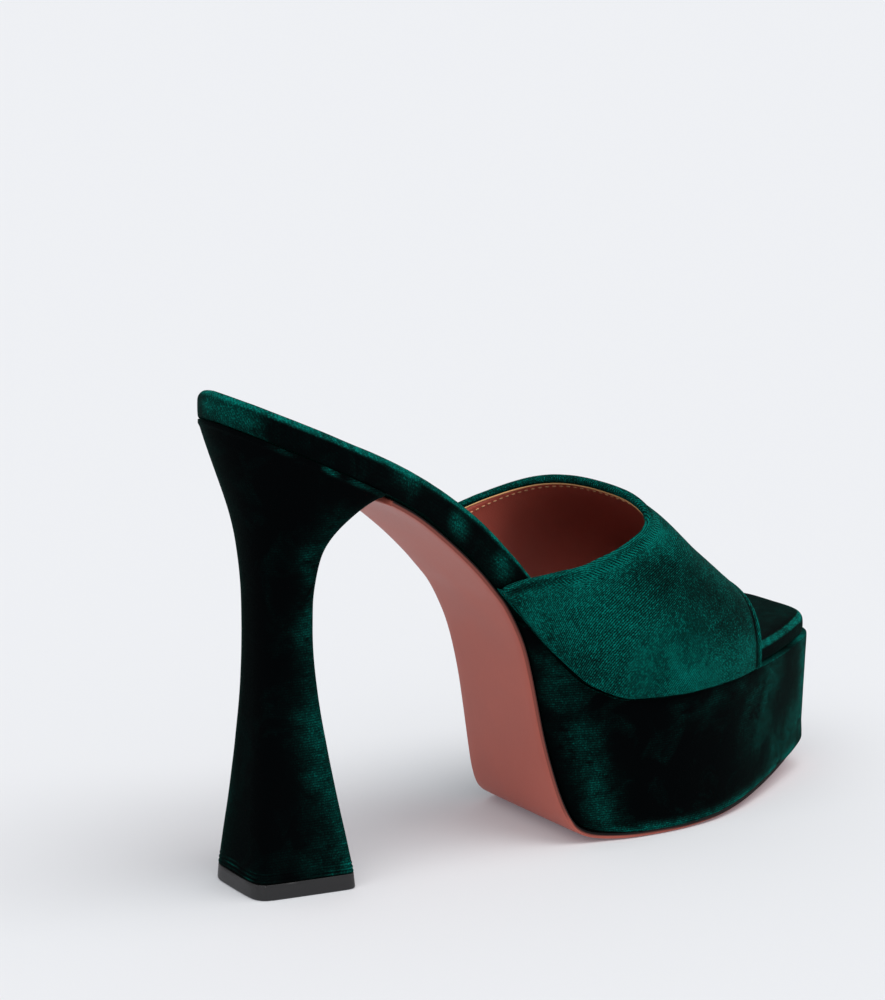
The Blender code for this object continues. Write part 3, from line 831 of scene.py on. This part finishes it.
upperVelvet = {
    "columns": 360,
    "rows": {"roll": 13, "band": 30, "body": 70, "toe": 18},
    "edgeRadius": 1.0,            # mm, the cloth folds over this at collar and toe
    "tuck": [7.0, 5.0, 3.4, 2.2],     # mm behind the edges, inside
    "under": [1.8, 1.2, 0.6],     # mm, the lip turns under the lower edge
    "lipRadius": 0.9,
    "band": [                     # from the collar's edge, raised by
        (0.0, 0.1), (0.8, 0.5), (1.7, 0.6), (2.7, 0.4), (3.4, 0.0), (6.0, 0.0),
    ],
    "bandEnd": 6.0,
    "toeBand": 6.0,
    "leastSlant": 0.4,            # the collar's fold keeps its width where the edge runs aslant
    "gather": {"inset": 3.5, "width": 0.9, "ends": (12, 14)},   # mm from the edge; degrees, fading in
    "rimNaps": [(0.4, 0.4, 0.15), (1.5, 0.9, -0.25), (2.5, 0.4, -0.12)],   # from the edge, width, painted light; negative ones are painted shade
    # the welt's ridge gets painted highlight, its groove painted shade
    "welt": {"inset": 0.8, "width": 0.9, "height": 0.25, "napAndSheen": 0.40,
             "groove": 3.0, "grooveWidth": 1.0, "depth": 0.35, "grooveShade": -0.30},
    # painted highlight along the lower lip's roll
    "lipHighlight": 0.30,
    "creases": [                  # from, to, width, height; mm in the frame
        ((24, -36, 80), (60, -31, 60), 6.0, -0.30),
        ((30, -38, 66), (58, -33, 57), 4.0, 0.20),
        ((-6, -31, 80), (18, -38, 58), 6.0, 0.20),
    ],
    "ripple": (0.10, 70, 200),
    "cloth": {"weaveMap": "cloth", "weaveTurn": (0, 0, 48), "weave": 0.9,
              "crush": 0.95, "fleck": 0.45, "smear": 0.08, "grain": 1.3,
              # the gathers: bands of painted light and shade along the collar
              "gathers": {"spacing": 1.1, "mean": 0.35, "napAndSheen": 3.8}},
    # painted sheen over the vamp: brighter and darker strokes of painted light and shade, with the pile's own
    # patches
    "napAndSheen": {
        "side": 0.29, "edge": 0.31, "top": 0.29,
        "strokes": [
            ((-10, -31, 74), (16, -38, 60), 12, 0.32), ((-4, -33, 82), (21, -32, 91), 4, 0.55),
            ((28, -40, 50), (60, -33, 51), 6, 0.32), ((24, -36, 79), (58, -30.5, 63), 9.5, -0.16),
            ((-10, -31.5, 63), (0, -34, 52), 5, -0.08), ((26, -29, 93.5), (31, -27, 92), 5, 0.30),
        ],
    },
}


def archPoints(x, around):
    # outer face of the upper, in mm in the frame
    form = upperForm
    foot = curveThrough(form["edges"], 3, x)
    crownY = curveThrough(form["crown"], 1, x)
    crown = curveThrough(form["crown"], 2, x)
    cosine = np.cos(np.radians(around))
    sine = np.abs(np.sin(np.radians(around)))
    lateral = curveThrough(form["edges"], 1, x) - form["standOff"]
    medial = curveThrough(form["edges"], 2, x) + form["standOff"]
    across = np.abs(cosine) ** (2 / form["fullness"]) + form["bulge"] * sine * np.abs(cosine)
    y = crownY + (np.where(cosine > 0, lateral, medial) - crownY) * across
    z = foot + (crown - foot) * sine ** (2 / form["fullness"])
    return np.stack((x - form["shift"][0], y - form["shift"][1], z), axis=-1)


def archNormals(x, around):
    probe = upperForm["probe"]
    along = archPoints(x + probe, around) - archPoints(x - probe, around)
    over = archPoints(x, np.clip(around + probe, 0, 180)) - archPoints(x, np.clip(around - probe, 0, 180))
    normals = np.cross(along, over)
    return normals / np.linalg.norm(normals, axis=-1, keepdims=True)


def spreadAround(count, hemmed=0.0):
    # degrees over the foot at even lengths, from a little above the lower edges
    fine = np.linspace(0, 180, upperForm["samples"])
    line = archPoints(np.full(fine.shape, upperForm["sampleX"]), fine)
    lengths = np.concatenate(([0], np.cumsum(np.linalg.norm(np.diff(line, axis=0), axis=1))))
    return np.interp(np.linspace(hemmed, lengths[-1] - hemmed, count), lengths, fine)


def gridAt(points):
    # a grid with its corners moved to the points, columns first
    columns, rows = points.shape[:2]
    bm = bmesh.new()
    bmesh.ops.create_grid(bm, x_segments=columns - 1, y_segments=rows - 1, size=0.5)
    bmesh.ops.reverse_faces(bm, faces=bm.faces[:])
    for vert in bm.verts:
        i = round((vert.co.x + 0.5) * (columns - 1))
        j = round((vert.co.y + 0.5) * (rows - 1))
        vert.index = i * rows + j
        vert.co = points[i, j] * millimetre
    bm.normal_update()
    return bm


def makeUpper():
    look = upperVelvet
    radius = look["edgeRadius"]
    around = spreadAround(look["columns"])
    under = np.array(look["under"])
    around = np.concatenate((np.zeros(len(under)), around, np.full(len(under), 180.0)))
    tucked = np.concatenate((under, np.zeros(look["columns"]), under[::-1]))[:, None]
    collar = curveThrough(upperForm["openings"], 1, around)[:, None]
    toe = curveThrough(upperForm["openings"], 2, around)[:, None]
    edgeLine = archPoints(collar, around[:, None])[:, 0]
    edgeSteps = np.diff(edgeLine, axis=0)
    edgeLength = np.maximum(np.linalg.norm(edgeSteps, axis=1), 1e-6)
    along = np.concatenate(([0], np.cumsum(edgeLength)))[:, None]
    half = 0.5   # mm, so that ahead is the run of one millimetre
    ahead = (archPoints(collar + half, around[:, None]) - archPoints(collar - half, around[:, None]))[:-1, 0]
    slant = np.linalg.norm(np.cross(ahead, edgeSteps / edgeLength[:, None]), axis=1)
    slant = np.maximum(np.append(slant, slant[-1]), look["leastSlant"])[:, None]

    # rows: tucked in, over the collar, along the vamp, over the toe edge, tucked in
    counts = look["rows"]
    roll = np.radians(np.linspace(180, 0, counts["roll"]))
    tuck = np.array(look["tuck"])
    rollInset = radius * (1 - np.sin(roll))
    rollDepth = radius * (1 - np.cos(roll))
    band = np.linspace(radius, look["bandEnd"], counts["band"])[1:]
    share = np.linspace(0, 1, counts["body"])[1:-1]
    toeBand = np.linspace(look["toeBand"], radius, counts["toe"])[:-1]
    fromCollar = np.concatenate((tuck, rollInset, band))
    toToe = np.concatenate((toeBand, rollInset[::-1], tuck[::-1]))
    bodyStart = collar + look["bandEnd"] / slant
    body = bodyStart + (toe - look["toeBand"] - bodyStart) * share
    x = np.concatenate((collar + fromCollar / slant, body, toe - toToe), axis=1)
    flat = np.zeros(len(band) + len(share) + len(toeBand))
    tuckDepth = np.full(len(tuck), 2 * radius)
    depth = np.concatenate((tuckDepth, rollDepth, flat, rollDepth[::-1], tuckDepth))[None, :]
    turn = np.repeat(around[:, None], x.shape[1], axis=1)
    points = archPoints(x, turn)
    normals = archNormals(x, turn)
    foot = curveThrough(upperForm["edges"], 3, x)
    over = np.linalg.norm(np.diff(points, axis=0), axis=2)
    over = foot + np.concatenate((np.zeros((1, x.shape[1])), np.cumsum(over, axis=0)))

    # relief of the folded collar and the toe edge
    inset = (x - collar) * slant
    before = toe - x
    welt = look["welt"]
    gather = look["gather"]
    fadeFrom, fadeOver = gather["ends"]
    ends = np.clip((np.minimum(around, 180 - around) - fadeFrom) / fadeOver, 0, 1)[:, None]
    gathered = ends * np.exp(-((inset - gather["inset"]) / gather["width"]) ** 2)
    edging = np.exp(-((before - welt["inset"]) / welt["width"]) ** 2)
    groove = np.exp(-((before - welt["groove"]) / welt["grooveWidth"]) ** 2)
    rise = curveThrough(look["band"], 1, inset) + welt["height"] * edging - welt["depth"] * groove
    outer = 1 - depth / (2 * radius)
    points = points + normals * (rise * outer - depth - tucked)[:, :, None]

    # the lower lip is rounded under
    height = points[:, :, 2] - foot
    lip = np.clip(1 - height / look["lipRadius"], 0, 1) * np.pi / 2
    points = points - normals * (look["lipRadius"] * (1 - np.cos(lip)))[:, :, None]
    points[:, :, 2] = np.where(lip > 0, foot + look["lipRadius"] * (1 - np.sin(lip)), points[:, :, 2])

    bm = gridAt(points)
    rows = x.shape[1]
    # painted highlights on the welt, the collar's roll and the lip; painted shade in the groove and below the
    # roll
    foldLightAndShade = welt["napAndSheen"] * edging + welt["grooveShade"] * groove
    for place, width, napAndSheen in look["rimNaps"]:
        foldLightAndShade = foldLightAndShade + napAndSheen * np.exp(-((inset - place) / width) ** 2)
    foldLightAndShade = foldLightAndShade + look["lipHighlight"] * np.exp(-(height / look["lipRadius"]) ** 2)
    cloth = bm.loops.layers.uv.new("cloth")
    seam = bm.loops.layers.uv.new("collar")
    for face in bm.faces:
        for loop in face.loops:
            i, j = divmod(loop.vert.index, rows)
            loop[cloth].uv = (over[i, j] * millimetre, x[i, j] * millimetre)
            loop[seam].uv = (along[i, 0] * millimetre, inset[i, j] * millimetre)
    creaseBy(bm, look["creases"])
    ripple(bm, *look["ripple"])
    brushNapAndSheen(bm, look["napAndSheen"])
    layer = bm.verts.layers.float["napAndSheen"]
    pulled = bm.verts.layers.float.new("gather")
    for vert in bm.verts:
        i, j = divmod(vert.index, rows)
        vert[layer] = max(vert[layer] + foldLightAndShade[i, j], 0.0)
        vert[pulled] = gathered[i, j]
    piece = finishPiece("upperVelvet", bm, makeVelvet("upperPile", look["cloth"]))
    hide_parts("upper")


makeUpper()
print("upper folded")

# lining, its piping and its stitches

liningSkin = {
    "columns": 160,
    "rows": 60,
    "inset": 1.9,                 # mm, from the collar's edge and the toe's
    "depth": 2.4,
    "hemmed": 1.2,                # mm, above the lower lip
    "thickness": 0.35,
    "tone": 0.5,
    "light": (0.74, 0.150, 0.106, 1),
    "deep": (0.64, 0.124, 0.087, 1),
    "piping": {"inset": 1.75, "depth": 2.25, "radius": 0.24, "knots": 220, "roundness": 2,
               "light": (0.85, 0.48, 0.20, 1), "deep": (0.66, 0.32, 0.12, 1)},
    "stitches": {"inset": 4.0, "depth": 2.5, "spacing": 2.2, "size": (0.70, 0.26, 0.24),
                 "samples": 2000, "half": 0.5, "segments": (8, 5),
                 "light": (0.85, 0.48, 0.26, 1), "deep": (0.62, 0.30, 0.15, 1)},
}


def collarLine(inset, depth, count):
    around = spreadAround(count)
    x = curveThrough(upperForm["openings"], 1, around) + inset
    return archPoints(x, around) - archNormals(x, around) * depth


def makeLining():
    look = liningSkin
    around = spreadAround(look["columns"], look["hemmed"])
    collar = curveThrough(upperForm["openings"], 1, around)[:, None] + look["inset"]
    toe = curveThrough(upperForm["openings"], 2, around)[:, None] - look["inset"]
    x = collar + (toe - collar) * np.linspace(0, 1, look["rows"])[None, :]
    turn = np.repeat(around[:, None], look["rows"], axis=1)
    bm = gridAt(archPoints(x, turn) - archNormals(x, turn) * look["depth"])
    bmesh.ops.reverse_faces(bm, faces=bm.faces[:])
    bm.normal_update()
    material = makeLeather("liningLeather", look["light"], look["deep"], look["tone"])
    finishPiece("upperLining", bm, material,
                [("SOLIDIFY", {"thickness": look["thickness"] * millimetre, "offset": -1.0})])


def makePiping():
    look = liningSkin["piping"]
    line = collarLine(look["inset"], look["depth"], look["knots"])
    curve = bpy.data.curves.new("pipingPath", "CURVE")
    curve.dimensions = "3D"
    curve.bevel_depth = look["radius"] * millimetre
    curve.bevel_resolution = look["roundness"]
    curve.use_fill_caps = True
    spline = curve.splines.new("POLY")
    spline.points.add(len(line) - 1)
    for knot, place in zip(spline.points, line):
        knot.co = (*(place * millimetre), 1)
    path = bpy.data.objects.new("pipingPath", curve)
    bpy.context.scene.collection.objects.link(path)
    graph = bpy.context.evaluated_depsgraph_get()
    tube = bpy.data.meshes.new_from_object(path.evaluated_get(graph))
    bpy.data.objects.remove(path, do_unlink=True)
    bm = bmesh.new()
    bm.from_mesh(tube)
    bpy.data.meshes.remove(tube)
    material = makeThread("pipingTan", look["light"], look["deep"])
    finishPiece("collarPiping", bm, material)


def makeStitches():
    look = liningSkin["stitches"]
    line = collarLine(look["inset"], look["depth"], look["samples"])
    lengths = np.concatenate(([0], np.cumsum(np.linalg.norm(np.diff(line, axis=0), axis=1))))
    places = np.arange(look["spacing"], lengths[-1] - look["spacing"], look["spacing"])
    around, down = look["segments"]
    bm = bmesh.new()
    for place in places:
        start = np.array([np.interp(place - look["half"], lengths, line[:, k]) for k in range(3)])
        end = np.array([np.interp(place + look["half"], lengths, line[:, k]) for k in range(3)])
        along = Vector(end - start)
        matrix = Matrix.Translation(Vector((start + end) / 2) * millimetre)
        matrix = matrix @ along.to_track_quat("X", "Z").to_matrix().to_4x4()
        matrix = matrix @ Matrix.Diagonal((*[s * millimetre for s in look["size"]], 1))
        bmesh.ops.create_uvsphere(bm, u_segments=around, v_segments=down, radius=1.0, matrix=matrix)
    material = makeThread("stitchThread", look["light"], look["deep"])
    finishPiece("liningStitches", bm, material)


makeLining()
makePiping()
makeStitches()
print("lining sewn in")
